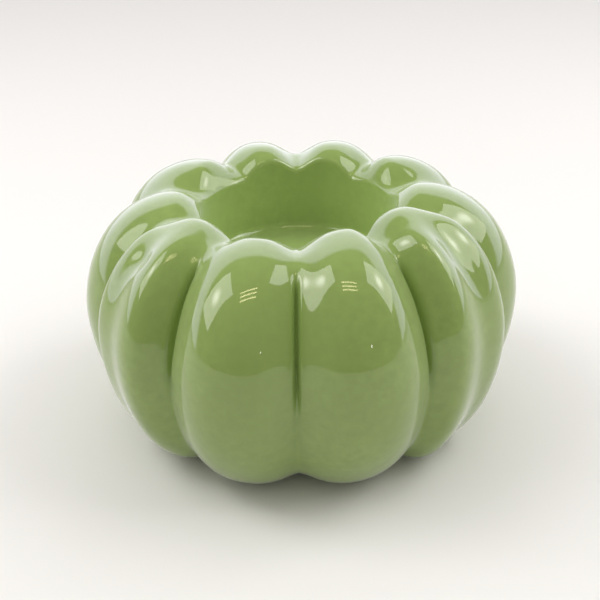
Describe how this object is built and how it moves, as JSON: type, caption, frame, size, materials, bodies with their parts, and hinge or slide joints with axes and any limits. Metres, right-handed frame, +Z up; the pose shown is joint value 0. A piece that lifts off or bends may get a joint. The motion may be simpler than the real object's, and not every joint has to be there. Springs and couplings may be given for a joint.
{
  "type": "pumpkin candle holder",
  "caption": "Glazed ceramic pumpkin with plump uneven lobes, open at the top into a round flat-floored well for a pillar candle.",
  "frame": {"origin": "on the table plane under the middle of the pumpkin, which is on the well's axis; the felt pads stand on this plane", "axes": "+Z up, along the well's axis and out of its mouth; -Y towards the crease between the two front lobes; +X to the right seen from the front"},
  "size_m": [0.1788, 0.1742, 0.1024],
  "materials": {
    "glaze": "glossy sage-green celadon glaze, darker where it pools in the creases",
    "bisque": "matt unglazed stoneware",
    "felt": "pressed brown felt"
  },
  "bodies": {
    "root": {"lobed_shell": "glaze", "candle_well": "glaze", "base_disc": "bisque", "well_luting_seam": "bisque", "base_luting_seam": "bisque", "felt_pad_1": "felt", "felt_pad_2": "felt", "felt_pad_3": "felt", "felt_pad_4": "felt"}
  },
  "joints": []
}
